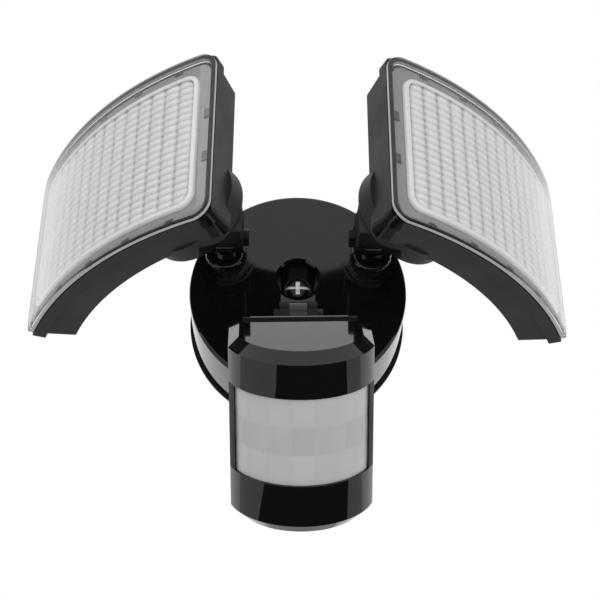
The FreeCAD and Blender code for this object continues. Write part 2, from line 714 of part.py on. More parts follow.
def d_shell(name, low, high, closed):
    """A D-section cup whose closed end, low or high, has the bevel all round."""
    end, step = (low, "sensor_bevel") if closed == "low" else (high, "-sensor_bevel")
    body = document.addObject("PartDesign::Body", name + "_bevel")
    lofted = body.newObject("PartDesign::AdditiveLoft", name + "_lofted")
    lofted.Profile = d_outline(body, name + "_full", "0", f"{end} + {step}")
    lofted.Sections = [d_outline(body, name + "_end", "sensor_bevel", end)]
    lofted.Ruled = True
    body.Tip = lofted
    if closed == "low":
        straight = d_block(name + "_straight", "0", f"{low} + sensor_bevel", high)
        hollow = d_block(name + "_hollow", "sensor_wall", f"{low} + sensor_bevel", f"{high} + 1")
    else:
        straight = d_block(name + "_straight", "0", low, f"{high} - sensor_bevel")
        hollow = d_block(name + "_hollow", "sensor_wall", f"{low} - 1", f"{high} - sensor_bevel")
    return fuse(name + "_solid", body, straight), hollow


def make_sensor(place):
    """Hood, middle housing with its clevis, cap, lens window and electronics."""
    finish(cut("hood_cut", *d_shell("hood", "-hood_low", "hood_top", "high")), "sensor_hood", place)

    outer = d_block("housing_outer", "0", "-window_low", "-hood_low")
    hollow = d_block("housing_hollow", "sensor_wall", "-window_low - 1", "1 - hood_low")
    reach = "(sensor_half_width - post_width)"
    window = block("window_way", (f"-{reach}", "-sensor_axis_out - sensor_radius - 1", "-window_low - 1"),
                   (f"2 * {reach}", "sensor_radius - sensor_wall - 5", "window_low - hood_low + 2"))
    neck, gaps = clevis("sensor", [
        ("0", "lug_radius"), ("-14", "4"), ("-sensor_back_out + 0.2", "-hood_low - 0.3"),
        ("-sensor_back_out - 1", "-hood_low - 0.3"), ("-sensor_back_out - 1", "-hood_low - 24"),
        ("0", "-lug_radius")])
    finish(cut("sensor_housing_cut", fuse("sensor_housing_solids", cut("housing_tube", outer, hollow), neck),
               fuse("sensor_housing_gaps", window, gaps, *sensor_rods("sensor_screw_way", "screw_gap"))),
           "sensor_housing", place)

    cap, cap_hollow = d_shell("cap", "-cap_low", "-window_low", "low")
    dial_ways = []
    for number, side in enumerate((-1, 1)):
        dial_ways.append(cylinder(f"dial_way_{number}", "dial_radius + dial_gap", "dial_radius",
                                  (f"{side} * dial_spread", "-sensor_axis_out", "-cap_low - 2"), UPRIGHT))
    finish(cut("cap_cut", cap, fuse("cap_gaps", cap_hollow, *dial_ways)), "sensor_cap", place)

    pane = cut("pane_cut",
               cylinder("pane_outer", "sensor_radius - window_inset", "window_low - hood_low",
                        ("0", "-sensor_axis_out", "-window_low"), UPRIGHT),
               cylinder("pane_inner", "sensor_radius - window_inset - window_thick", "window_low",
                        ("0", "-sensor_axis_out", "-window_low"), UPRIGHT))
    pane_zone = block("pane_zone", (f"0.05 - {reach}", "-sensor_axis_out - sensor_radius", "-window_low"),
                      (f"2 * {reach} - 0.1", "sensor_radius", "window_low"))
    finish(common("pane_common", pane, pane_zone), "pir_lens", place)

    board_face = "-sensor_back_out - sensor_wall - 7"
    finish(block("board_block", ("-26", board_face, "-cap_low + 12"), ("52", "board_thick", "cap_low - 16")),
           "sensor_board", place)
    finish(cylinder("can_rod", "4.6", "5", ("0", board_face, "-hood_low - 23"), TO_VIEWER), "pyro_can", place)
    finish(cylinder("cell_rod", "2.5", "3", ("19", board_face, "-hood_low - 30"), TO_VIEWER), "photocell", place)
    finish(block("relay_block", ("-24", f"{board_face} - 12", "-cap_low + 14"), ("16", "12", "11")),
           "relay", place)
    finish(group("sensor_screw_group", *sensor_rods("sensor_screw", "0")), "sensor_screws", place)


def sensor_rods(name, gap):
    """Rods through the back of the sensor at its four screws, a gap wider than the screws."""
    rods = []
    for number, side in enumerate((-1, 1)):
        for row, up in enumerate(("-hood_low - 8", "6 - window_low")):
            spot = (f"{side} * (sensor_half_width - 8)", f"1 - sensor_back_out + {gap}", up)
            rods.append(cylinder(f"{name}_{number}_{row}", f"0.8 * screw_head_radius + {gap}",
                                 f"1 + sensor_wall + 2 * {gap}", spot))
    return rods


def make_dials(place):
    """The two controls under the sensor, each with a screwdriver slot."""
    for word, side in (("time", -1), ("range", 1)):
        low = "-cap_low - dial_out"
        knob = cylinder(word + "_knob", "dial_radius", "dial_out + dial_radius - 2.2",
                        (f"{side} * dial_spread", "-sensor_axis_out", low), UPRIGHT)
        slot = block(word + "_slot", (f"{side} * dial_spread - 0.6", "-sensor_axis_out - 0.8 * dial_radius",
                                      f"{low} - 1"), ("1.2", "1.6 * dial_radius", "2.2"))
        finish(cut(word + "_dial_cut", knob, slot), word + "_dial", place)


# ---------------------------------------------------------------- the whole light

def check_document():
    """Stop if anything failed to build."""
    document.recompute()
    for thing in document.Objects:
        if "Invalid" in thing.State or "Error" in thing.State:
            raise RuntimeError(f"{thing.Name} failed: {thing.State}")
    for thing in SUB_PARTS:
        if thing.Shape.isNull() or not thing.Shape.isValid():
            raise RuntimeError(f"{thing.Label} has no valid shape")


make_canopy()
make_wall_fixings()
make_collars()
make_wire_nuts()
for arm_name, arm_side in (("left", -1), ("right", 1)):
    make_arm(arm_name)
    head_place = knuckle_pose(arm_name)
    make_tilt_bolt(arm_name, head_place)
    make_housing(arm_name, arm_side, head_place)
    make_head_trim(arm_name, arm_side, head_place)
make_arm("sensor")
sensor_place = knuckle_pose("sensor")
make_tilt_bolt("sensor", sensor_place)
make_sensor(sensor_place)
make_dials(sensor_place)
check_document()

os.makedirs("parts", exist_ok=True)
for sub_part in SUB_PARTS:
    sub_part.Shape.exportStep(f"parts/{sub_part.Label}.step")
    print(f"{sub_part.Label:22s} {sub_part.Shape.Volume:10.0f} mm3  {len(sub_part.Shape.Solids)} solid(s)")
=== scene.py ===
"""Looks of a twin-head motion sensor security light, seen from below on its wall."""
import math

import bmesh
import bpy
from mathutils import Matrix, Vector


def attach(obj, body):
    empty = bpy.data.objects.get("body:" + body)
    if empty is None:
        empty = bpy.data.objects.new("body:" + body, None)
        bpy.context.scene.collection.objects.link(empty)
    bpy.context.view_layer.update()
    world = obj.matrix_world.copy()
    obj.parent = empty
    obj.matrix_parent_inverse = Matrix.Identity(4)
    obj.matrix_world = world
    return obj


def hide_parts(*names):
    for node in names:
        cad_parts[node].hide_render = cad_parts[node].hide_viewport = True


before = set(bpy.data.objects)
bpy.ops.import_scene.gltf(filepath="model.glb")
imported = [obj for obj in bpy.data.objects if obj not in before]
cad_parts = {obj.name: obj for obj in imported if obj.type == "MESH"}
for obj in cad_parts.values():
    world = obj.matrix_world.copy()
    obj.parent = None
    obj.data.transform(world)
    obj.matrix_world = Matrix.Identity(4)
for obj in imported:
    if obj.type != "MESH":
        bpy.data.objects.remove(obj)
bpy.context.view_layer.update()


# Canopy: a round moulded drum of gloss black plastic, polished in the tool. It is held to
# the junction box by one screw deep in the middle recess, and a foam ring seals it.

def grain_group():
    """Faint cloudiness and fine grain for moulded or painted faces."""
    group = bpy.data.node_groups.new("surface_grain", "ShaderNodeTree")
    for label, kind in (("Tone", "Color"), ("Other tone", "Color"), ("Grain size", "Float"),
                        ("Smoothest", "Float"), ("Roughest", "Float")):
        group.interface.new_socket(name=label, in_out="INPUT", socket_type="NodeSocket" + kind)
    for label, kind in (("Color", "Color"), ("Roughness", "Float"), ("Height", "Float")):
        group.interface.new_socket(name=label, in_out="OUTPUT", socket_type="NodeSocket" + kind)
    nodes, links = group.nodes, group.links
    inputs, outputs = nodes.new("NodeGroupInput"), nodes.new("NodeGroupOutput")
    place = nodes.new("ShaderNodeTexCoord")
    grain, cloud = nodes.new("ShaderNodeTexNoise"), nodes.new("ShaderNodeTexNoise")
    grain.inputs["Detail"].default_value = 3
    cloud.inputs["Scale"].default_value = 35
    cloud.inputs["Detail"].default_value = 4
    links.new(place.outputs["Object"], grain.inputs["Vector"])
    links.new(place.outputs["Object"], cloud.inputs["Vector"])
    links.new(inputs.outputs["Grain size"], grain.inputs["Scale"])
    tones = nodes.new("ShaderNodeMix")
    tones.data_type = "RGBA"
    links.new(cloud.outputs["Fac"], tones.inputs["Factor"])
    links.new(inputs.outputs["Tone"], tones.inputs["A"])
    links.new(inputs.outputs["Other tone"], tones.inputs["B"])
    links.new(tones.outputs["Result"], outputs.inputs["Color"])
    dull = nodes.new("ShaderNodeMapRange")
    links.new(cloud.outputs["Fac"], dull.inputs["Value"])
    dull.inputs["From Min"].default_value = 0.35
    dull.inputs["From Max"].default_value = 0.65
    links.new(inputs.outputs["Smoothest"], dull.inputs["To Min"])
    links.new(inputs.outputs["Roughest"], dull.inputs["To Max"])
    links.new(dull.outputs["Result"], outputs.inputs["Roughness"])
    links.new(grain.outputs["Fac"], outputs.inputs["Height"])
    return group


surface_grain = grain_group()


def make_finish(name, tone, other_tone, smoothest, roughest, grain_size=900, grain_depth=0.00001,
                metallic=0.0, shine=0.5):
    """A material with the shared grain, between two tones and two roughnesses."""
    material = bpy.data.materials.new(name)
    material.use_nodes = True
    nodes, links = material.node_tree.nodes, material.node_tree.links
    shader = nodes["Principled BSDF"]
    shader.inputs["Metallic"].default_value = metallic
    shader.inputs["Specular IOR Level"].default_value = shine
    grain = nodes.new("ShaderNodeGroup")
    grain.node_tree = surface_grain
    grain.inputs["Tone"].default_value = (*tone, 1)
    grain.inputs["Other tone"].default_value = (*other_tone, 1)
    grain.inputs["Grain size"].default_value = grain_size
    grain.inputs["Smoothest"].default_value = smoothest
    grain.inputs["Roughest"].default_value = roughest
    bump = nodes.new("ShaderNodeBump")
    bump.inputs["Distance"].default_value = grain_depth
    bump.inputs["Strength"].default_value = 1.0
    links.new(grain.outputs["Color"], shader.inputs["Base Color"])
    links.new(grain.outputs["Roughness"], shader.inputs["Roughness"])
    links.new(grain.outputs["Height"], bump.inputs["Height"])
    links.new(bump.outputs["Normal"], shader.inputs["Normal"])
    return material


def dress(material, *node_names):
    """Give CAD pieces their finish."""
    for node_name in node_names:
        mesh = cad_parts[node_name].data
        mesh.materials.clear()
        mesh.materials.append(material)


gloss_black = make_finish("gloss_black_moulding", (0.0042, 0.0042, 0.0044), (0.0054, 0.0054, 0.0056),
                          0.02, 0.05, grain_size=500, grain_depth=0.0000012)
foam_rubber = make_finish("foam_rubber", (0.006, 0.006, 0.006), (0.014, 0.014, 0.014), 0.75, 0.95,
                          grain_size=1800, grain_depth=0.00012)
dress(gloss_black, "canopy")
dress(foam_rubber, "wall_gasket")


# Behind the canopy: a zinc-plated steel strap across the junction box with its green earth
# screw, and three twist-on connectors for the wires, moulded caps with flutes for the fingers.

zinc_plate = make_finish("zinc_plate", (0.5, 0.51, 0.52), (0.62, 0.62, 0.6), 0.25, 0.45,
                         grain_size=700, metallic=1.0)
earth_green = make_finish("earth_green_paint", (0.03, 0.22, 0.06), (0.05, 0.3, 0.09), 0.25, 0.4)
twist_cap = make_finish("twist_cap", (0.62, 0.2, 0.03), (0.7, 0.25, 0.05), 0.35, 0.5)
dress(zinc_plate, "crossbar")
dress(earth_green, "ground_screw")

sharp_edge = math.radians(38)


def make_piece(name, points, faces, material, body, smooth=True):
    """A mesh piece in the row frame that rides on a body."""
    mesh = bpy.data.meshes.new(name)
    mesh.from_pydata([tuple(point) for point in points], [], faces)
    mesh.materials.append(material)
    mesh.update()
    piece = bpy.data.objects.new(name, mesh)
    bpy.context.scene.collection.objects.link(piece)
    if smooth:
        for face in mesh.polygons:
            face.use_smooth = True
        mesh.set_sharp_from_angle(angle=sharp_edge)
    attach(piece, body)
    return piece


def faces_between(rings, steps, start=0):
    """Faces that join each closed ring of points to the next."""
    faces = []
    for ring in range(rings - 1):
        first = start + ring * steps
        for step in range(steps):
            here, after = first + step, first + (step + 1) % steps
            faces.append((here, after, after + steps, here + steps))
    return faces


def turned(profile, steps, place, radius_at=None):
    """Points and faces of a turned shape: its profile is (radius, along), and place puts its points."""
    points = []
    for radius, along in profile:
        for step in range(steps):
            angle = 2 * math.pi * step / steps
            reach = radius if radius_at is None else radius_at(radius, along, angle)
            points.append(place(reach * math.cos(angle), reach * math.sin(angle), along))
    return points, faces_between(len(profile), steps)


def out_from_wall(x, z):
    """The place of a turned shape's points when its axis stands straight out from the wall."""
    return lambda across, up, along: (x + across, along, z + up)


def join_parts(parts):
    """Several (points, faces) lists as one."""
    points, faces = [], []
    for part_points, part_faces in parts:
        base = len(points)
        points += part_points
        faces += [tuple(base + index for index in face) for face in part_faces]
    return points, faces


connector_spots = ((-0.0285, -0.0265), (0.0285, -0.0265), (0.0, 0.0424))
connector_profile = ((0.0040, -0.0082), (0.0056, -0.0081), (0.0059, -0.0088), (0.0057, -0.0110),
                     (0.0052, -0.0140), (0.0045, -0.0200), (0.0040, -0.0238), (0.0032, -0.0248),
                     (0.0, -0.0249))
connector_skirt, connector_tip = -0.0095, 0.003
connector_flutes, connector_flute_depth, connector_steps = 12, 0.045, 48


def fluted_cap(radius, along, angle):
    """Finger flutes between the connector's skirt and its tip, as a share of the radius."""
    if along >= connector_skirt or radius <= connector_tip:
        return radius
    return radius * (1 + (connector_flute_depth * math.cos(connector_flutes * angle) - connector_flute_depth))


points, faces = join_parts([turned(connector_profile, connector_steps, out_from_wall(x, z), fluted_cap)
                            for x, z in connector_spots])
twist_connectors = make_piece("twist_connectors", points, faces, twist_cap, "root")
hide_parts("wire_nuts")


# Canopy screw: a domed head of dark steel on a rubber washer, which pulls the canopy onto the
# strap. Its slot and cross recess carry a painted highlight, near white.

washer_rubber = make_finish("washer_rubber", (0.015, 0.015, 0.015), (0.03, 0.03, 0.03), 0.55, 0.75)
dark_steel = make_finish("dark_screw_head", (0.018, 0.018, 0.018), (0.03, 0.03, 0.03), 0.22, 0.34,
                         grain_size=1200, grain_depth=0.000005, metallic=0.7)
painted_cross_highlight = make_finish("painted_cross_highlight", (0.8, 0.8, 0.79), (0.92, 0.92, 0.9), 0.4, 0.55,
                        grain_size=1200, grain_depth=0.000005, metallic=0.2)
dress(washer_rubber, "bolt_seal")

screw_radius, screw_front, screw_up = 0.0067, -0.0340, 0.0072
screw_rings, screw_steps = 40, 160
head_high, dome_high, head_back = 0.0031, 0.0030, -0.0309
slot_half, slot_depth = 0.00075, 0.0007
cross_half, cross_reach, cross_depth, cross_rise = 0.0012, 0.0040, 0.0016, 0.0009
shank_profile = ((0.0067, head_back), (0.0023, head_back), (0.0023, -0.0004), (0.0, -0.0003))


def disc_spots(radius, rings, steps):
    """Spots of a disc, ring by ring from its middle: (share of the radius, across, up)."""
    for ring in range(rings + 1):
        share = ring / rings
        for step in range(steps):
            angle = 2 * math.pi * step / steps
            yield share, radius * share * math.cos(angle), radius * share * math.sin(angle)


def in_slot(up):
    """Whether a spot of the head is in the slot."""
    return abs(up) < slot_half


def in_cross(across, up):
    """Whether a spot of the head is in the upright part of the cross."""
    return abs(across) < cross_half and abs(up) < cross_reach


points = []
for share, across, up in disc_spots(screw_radius, screw_rings, screw_steps):
    depth = 0.0
    if in_slot(up):
        depth = slot_depth
    if in_cross(across, up):
        depth = cross_depth - cross_rise * abs(up) / cross_reach
    out = screw_front + head_high - dome_high * math.sqrt(1 - share ** 5) + depth
    points.append((across, out, screw_up + up))
shank_points, _ = turned(shank_profile, screw_steps, out_from_wall(0.0, screw_up))
faces = faces_between(screw_rings + 1 + len(shank_profile), screw_steps)
canopy_screw = make_piece("canopy_screw", points + shank_points, faces, dark_steel, "root")
# a second slot for the painted highlight in the slot and the cross recess
canopy_screw.data.materials.append(painted_cross_highlight)
for face in canopy_screw.data.polygons:
    across, up = face.center.x, face.center.z - screw_up
    face.material_index = int(face.center.y < head_back and (in_slot(up) or in_cross(across, up)))
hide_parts("canopy_bolt")


# Arms: black stems that turn in the canopy. Each is clamped by a round collar with finger
# flutes, and ends in a knuckle lug with a bolt and nut. The stem is threaded where it shows.

arm_paint = make_finish("arm_gloss_paint", (0.002, 0.002, 0.0022), (0.004, 0.004, 0.0044), 0.06, 0.14,
                        grain_size=700, grain_depth=0.000004)
black_oxide = make_finish("black_oxide_steel", (0.004, 0.004, 0.004), (0.008, 0.008, 0.008), 0.3, 0.45,
                          shine=0.2)
for arm in ("left", "right", "sensor"):
    dress(arm_paint, arm + "_arm")
    dress(zinc_plate, arm + "_retainer")
    dress(black_oxide, arm + "_tilt_bolt", arm + "_tilt_nut")

# x and z of each arm, then the outer radius and the bore of its collar
arm_stations = {"left": (-0.040, 0.018, 0.0115, 0.00631), "right": (0.040, 0.018, 0.0115, 0.00631),
                "sensor": (0.0, -0.027, 0.0086, 0.00506)}
collar_seat, collar_high, bore_bevel = -0.0485, 0.0080, 0.0004
# how far the collar's outside lies inside its outer radius, and how far out from its seat
collar_outside = ((0.0004, 0.0), (0.0, 0.0004), (0.0, 0.0012), (0.0, 0.0016), (0.0, 0.0050),
                  (0.0003, 0.0062), (0.0010, 0.0073), (0.0020, 0.0079), (0.0030, collar_high))
collar_flutes, collar_steps = 20, 160
flute_depth, flute_inset, flute_start, flute_end = 0.00032, 0.0012, 0.0013, 0.0068


def clamp_collar(x, z, outer, bore):
    """A collar that stands on the canopy, with finger flutes between its two plain ends."""
    profile = [(bore, collar_seat)]
    profile += [(outer - inset, collar_seat - out) for inset, out in collar_outside]
    profile += [(bore + bore_bevel, collar_seat - collar_high),
                (bore, collar_seat - collar_high + bore_bevel), (bore, collar_seat)]

    def fluted(radius, along, angle):
        """The outside's radius, less the flutes."""
        in_flutes = collar_seat - flute_end < along < collar_seat - flute_start
        if radius < outer - flute_inset or not in_flutes:
            return radius
        return radius - flute_depth * (0.5 - 0.5 * math.cos(collar_flutes * angle)) ** 3

    return turned(profile, collar_steps, out_from_wall(x, z), fluted)


points, faces = join_parts([clamp_collar(*station) for station in arm_stations.values()])
clamp_collars = make_piece("clamp_collars", points, faces, gloss_black, "root")
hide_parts("lock_collars")

thread_radius, thread_high, thread_pitch = 0.00627, 0.00042, 0.0011
thread_start, thread_end, thread_rings, thread_steps = -0.0567, -0.0626, 44, 56


def thread(radius, along, angle):
    """A running thread that fades out at both ends."""
    wave = 0.5 + 0.5 * math.cos(2 * math.pi * along / thread_pitch + angle)
    fade = min(1.0, (thread_start - along) / thread_pitch, (along - thread_end) / thread_pitch)
    return radius + thread_high * wave * max(0.0, fade)


thread_profile = [(thread_radius, thread_start + (thread_end - thread_start) * ring / thread_rings)
                  for ring in range(thread_rings + 1)]
for arm in ("left", "right"):
    x, z, _, _ = arm_stations[arm]
    points, faces = turned(thread_profile, thread_steps, out_from_wall(x, z), thread)
    make_piece(arm + "_stem_thread", points, faces, arm_paint, arm + "_arm")


# Lamp heads: each is a cast housing, curved round its own upright axis and painted charcoal; a painted
# dark reflection turns the hub's bracket and the lower inner corner black, but for a lighter line on the
# corner. Its raised rim carries the cover, small snap tabs hold the tray, and pan-head screws close the back.

head_charcoal = make_finish("head_charcoal_paint", (0.026, 0.026, 0.027), (0.031, 0.031, 0.032), 0.42, 0.55,
                            grain_size=1500, grain_depth=0.00002, shine=0.14)
seal_black = make_finish("seal_black", (0.01, 0.01, 0.01), (0.02, 0.02, 0.02), 0.5, 0.7)
snap_tab_black = make_finish("snap_tab_black", (0.012, 0.012, 0.012), (0.02, 0.02, 0.02), 0.3, 0.45)
bright_steel = make_finish("bright_steel", (0.68, 0.68, 0.67), (0.8, 0.8, 0.79), 0.12, 0.26,
                           grain_size=1200, grain_depth=0.000005, metallic=1.0)
head_sides = (("left", -1), ("right", 1))
for arm, _ in head_sides:
    dress(head_charcoal, arm + "_housing")
    dress(seal_black, arm + "_lens_gasket")

lean_angle = math.radians(8)
head_lean = Matrix.Rotation(-lean_angle, 3, "X")
knuckle_aside, knuckle_out, knuckle_up = 0.040, -0.072, 0.018
axis_inward, axis_out = 0.078, 0.1005  # from the knuckle to the axis that the head is curved round
# the head's two ends in degrees round that axis, and its middle's height above the knuckle
arc_first, arc_last, arc_middle_up, head_half_up = 24.9, 70.5, 0.010, 0.054


def on_head(side, radius, angle, up):
    """A point of a head in the row frame, from its radius and angle about the lens axis and its height."""
    turn = math.radians(angle)
    local = Vector((side * (radius * math.sin(turn) - axis_inward), axis_out - radius * math.cos(turn), up))
    return Vector((side * knuckle_aside, knuckle_out, knuckle_up)) + head_lean @ local


def tint_where(material, mask, tone, blend="MIX"):
    """Put a tone into a material's colour where a mask is 1."""
    nodes, links = material.node_tree.nodes, material.node_tree.links
    colour, tint = nodes["Principled BSDF"].inputs["Base Color"], nodes.new("ShaderNodeMix")
    tint.data_type, tint.blend_type = "RGBA", blend
    tint.inputs["B"].default_value = (*tone, 1)
    links.new(mask, tint.inputs["Factor"])
    links.new(colour.links[0].from_socket, tint.inputs["A"])
    links.new(tint.outputs["Result"], colour)


# limits of the painted dark reflection, each as where it starts and where it is full
bracket_sides, bracket_front = (0.0110, 0.0106), (-0.0450, -0.0435)
corner_back, corner_edge, corner_reach = (0.1712, 0.1716), (-0.0012, -0.0008), (0.0552, 0.0546)
beside_line = (0.0007, 0.0011)
# the radius that distances along the lower edge are taken at, and how much the painted reflection on the
# corner flares
edge_radius, corner_flare = 0.185, 0.25


def paint_reflection_on_bracket_and_corner(material):
    """Paint a dark reflection, near black, on a head's bracket and on its lower inner corner, but for a
    lighter line there.
    """
    nodes, links = material.node_tree.nodes, material.node_tree.links

    def maths(operation, first, second=None):
        """A sum on a socket and a socket or number."""
        node = nodes.new("ShaderNodeMath")
        node.operation = operation
        links.new(first, node.inputs[0])
        if isinstance(second, bpy.types.NodeSocket):
            links.new(second, node.inputs[1])
        elif second is not None:
            node.inputs[1].default_value = second
        return node.outputs["Value"]

    def ramp(value, limits):
        """0 before the first limit and 1 past the second."""
        node = nodes.new("ShaderNodeMapRange")
        links.new(value, node.inputs["Value"])
        node.inputs["From Min"].default_value, node.inputs["From Max"].default_value = limits
        return node.outputs["Result"]

    # a surface point in the frame of the right head, with the left head mirrored onto it
    place, in_row = nodes.new("ShaderNodeTexCoord"), nodes.new("ShaderNodeSeparateXYZ")
    mirrored, to_head = nodes.new("ShaderNodeCombineXYZ"), nodes.new("ShaderNodeMapping")
    in_head = nodes.new("ShaderNodeSeparateXYZ")
    links.new(place.outputs["Object"], in_row.inputs["Vector"])
    links.new(maths("ABSOLUTE", in_row.outputs["X"]), mirrored.inputs["X"])
    links.new(in_row.outputs["Y"], mirrored.inputs["Y"])
    links.new(in_row.outputs["Z"], mirrored.inputs["Z"])
    links.new(mirrored.outputs["Vector"], to_head.inputs["Vector"])
    to_head.inputs["Rotation"].default_value = (lean_angle, 0, 0)
    knuckle = Vector((knuckle_aside, knuckle_out, knuckle_up))
    to_head.inputs["Location"].default_value = -(head_lean.transposed() @ knuckle)
    links.new(to_head.outputs["Vector"], in_head.inputs["Vector"])
    aside, out, up = (in_head.outputs[axis] for axis in "XYZ")
    bracket_reflection = maths("MULTIPLY", ramp(maths("ABSOLUTE", aside), bracket_sides), ramp(out, bracket_front))

    # its radius and angle round the lens axis, and how far it is from the corner along both edges
    from_axis = maths("ADD", aside, axis_inward)
    ahead = maths("MULTIPLY", maths("SUBTRACT", out, axis_out), -1.0)
    radius = maths("POWER", maths("ADD", maths("POWER", from_axis, 2.0), maths("POWER", ahead, 2.0)), 0.5)
    turn = maths("SUBTRACT", maths("ARCTAN2", from_axis, ahead), math.radians(arc_first))
    along_edge = maths("MULTIPLY", turn, edge_radius)
    up_edge = maths("SUBTRACT", up, arc_middle_up - head_half_up)
    off_line = maths("ABSOLUTE", maths("SUBTRACT", along_edge, up_edge))
    nearest, farthest = maths("MINIMUM", along_edge, up_edge), maths("MAXIMUM", along_edge, up_edge)

    # painted dark reflection between the corner's edges and its reach, but for the lighter line that runs out
    # from the corner
    reach = maths("ADD", farthest, maths("MULTIPLY", radius, corner_flare))
    corner_reflection = ramp(reach, corner_reach)
    for value, limits in ((radius, corner_back), (nearest, corner_edge), (off_line, beside_line)):
        corner_reflection = maths("MULTIPLY", corner_reflection, ramp(value, limits))
    # near black wherever either painted reflection mask is 1
    tint_where(material, maths("MAXIMUM", bracket_reflection, corner_reflection), (0.0015, 0.0015, 0.0015))


paint_reflection_on_bracket_and_corner(head_charcoal)

tray_face, tab_soft, tab_steps = 0.19262, 0.0003, 6
side_tab_angles, side_tab_half, side_tab_top = (32.0, 40.2, 48.6, 57.0, 65.2), 0.7, 0.19330
side_tab_near, side_tab_far = 0.0480, 0.0498
end_tab_heights, end_tab_half, end_tab_top = (-0.014, 0.014), 0.003, 0.19345
end_tab_outer, end_tab_inner = 0.97, 2.0


def snap_tab(side, top, first, last, low, high):
    """A tab on the tray's face, bent round the lens axis with softened edges, as points and faces."""
    rings = []
    for radius, pull in ((tray_face, 0.0), (top - tab_soft, 0.0), (top, tab_soft)):
        turn_pull = math.degrees(pull / top)
        angles = [first + turn_pull + (last - first - 2 * turn_pull) * step / tab_steps
                  for step in range(tab_steps + 1)]
        rings.append([(radius, angle, low + pull) for angle in angles]
                     + [(radius, angle, high - pull) for angle in reversed(angles)])
    count = len(rings[0])
    points = [on_head(side, *spot) for ring in rings for spot in ring]
    faces = faces_between(len(rings), count)
    for base in (0, 2 * count):
        for step in range(tab_steps):
            below, above = base + step, base + count - 1 - step
            faces.append((below, below + 1, above - 1, above))
    return points, faces


for arm, side in head_sides:
    tabs = []
    for angle in side_tab_angles:
        for low, high in ((side_tab_near, side_tab_far), (-side_tab_far, -side_tab_near)):
            tabs.append(snap_tab(side, side_tab_top, angle - side_tab_half, angle + side_tab_half,
                                 arc_middle_up + low, arc_middle_up + high))
    for first, last in ((arc_first + end_tab_outer, arc_first + end_tab_inner),
                        (arc_last - end_tab_inner, arc_last - end_tab_outer)):
        for up in end_tab_heights:
            tabs.append(snap_tab(side, end_tab_top, first, last, arc_middle_up + up - end_tab_half,
                                 arc_middle_up + up + end_tab_half))
    points, faces = join_parts(tabs)
    make_piece(arm + "_snap_tabs", points, faces, snap_tab_black, arm + "_head")


def pan_head(place, radius, height, depth):
    """A pan-head screw with a cross recess; place takes across, up and out of the surface."""
    rings, steps = 26, 72
    wing_half, wing_reach = radius * 0.15, radius * 0.55
    snap_from, snap_to = radius * 0.03, radius * 0.008

    def beside_wing(value):
        """Move a coordinate that is close to a wing's edge onto it."""
        gap = abs(value) - wing_half
        if abs(gap) >= snap_from:
            return value
        return math.copysign(wing_half + math.copysign(snap_to, gap), value)

    points = []
    for share, across, up in disc_spots(radius, rings, steps):
        if max(abs(across), abs(up)) < wing_reach:
            across, up = beside_wing(across), beside_wing(up)
        in_wing = min(abs(across), abs(up)) < wing_half and max(abs(across), abs(up)) < wing_reach
        out = height * (1 - share ** 4) ** 0.5 - (depth if in_wing else 0.0)
        points.append(place(across, up, out))
    return points, faces_between(rings + 1, steps)


back_face, behind_back = 0.1705, 0.1605
back_screw_spots = ((29.4, 0.0505), (66.0, 0.0505), (66.0, -0.0305))
upright = head_lean @ Vector((0, 0, 1))
for arm, side in head_sides:
    screws = []
    for angle, up in back_screw_spots:
        centre = on_head(side, back_face, angle, up)
        outward = (on_head(side, behind_back, angle, up) - centre).normalized()
        sideways = outward.cross(upright)
        screws.append(pan_head(lambda a, b, out: centre + sideways * a + upright * b + outward * out,
                               radius=0.0034, height=0.0019, depth=0.0012))
    points, faces = join_parts(screws)
    piece = make_piece(arm + "_back_screws", points, faces, bright_steel, arm + "_head")
    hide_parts(arm + "_housing_screws")


# Light engine of each head: a pale tray, a white circuit board with rows of emitters, and a
# driver in a dark case. A moulded optic panel with a raised border and rows of small
# cushion-shaped prisms covers them.

tray_pale = make_finish("tray_pale", (0.15, 0.15, 0.15), (0.18, 0.18, 0.18), 0.4, 0.55)
board_white = make_finish("board_white", (0.7, 0.7, 0.68), (0.78, 0.78, 0.75), 0.3, 0.45)
emitter_yellow = make_finish("emitter_yellow", (0.85, 0.62, 0.12), (0.9, 0.7, 0.2), 0.3, 0.4)
driver_case = make_finish("driver_case", (0.03, 0.03, 0.033), (0.045, 0.045, 0.05), 0.45, 0.6)
optic_frosted = make_finish("optic_frosted", (0.52, 0.52, 0.52), (0.60, 0.60, 0.60), 0.18, 0.32,
                            grain_size=600, grain_depth=0.00002)


def tint_by_points(material, attribute, tone):
    """Multiply a material's colour by a tone, as far as an attribute of the mesh's points says."""
    mask = material.node_tree.nodes.new("ShaderNodeAttribute")
    mask.attribute_name = attribute
    tint_where(material, mask.outputs["Fac"], tone, "MULTIPLY")


# painted shade in each groove between the optic panel's prisms
tint_by_points(optic_frosted, "groove", (0.34, 0.34, 0.34))
for arm, _ in head_sides:
    dress(tray_pale, arm + "_reflector")
    dress(board_white, arm + "_led_board")
    dress(emitter_yellow, arm + "_leds")
    dress(driver_case, arm + "_driver")

cover_radius, arc_middle = 0.197, (arc_first + arc_last) / 2
cover_half_turn = (arc_last - arc_first) / 2 * math.pi / 180 * cover_radius
panel_columns, panel_rows, column_steps, row_steps = 14, 18, 6, 4
panel_edge, panel_corner = 0.0100, 0.0090
panel_half_turn, panel_half_up = cover_half_turn - panel_edge, head_half_up - panel_edge
border_wide, border_high, border_drop = 0.0034, 0.00185, 0.0007
border_bevel, border_foot, border_crease = (0.0, 0.00025, 0.0007, 0.0014), 0.0006, 0.00015
border_end = border_wide - 0.0001
field_half_turn, field_half_up = panel_half_turn - border_wide, panel_half_up - border_wide
cushion_foot, cushion_high = 0.00055, 0.00125
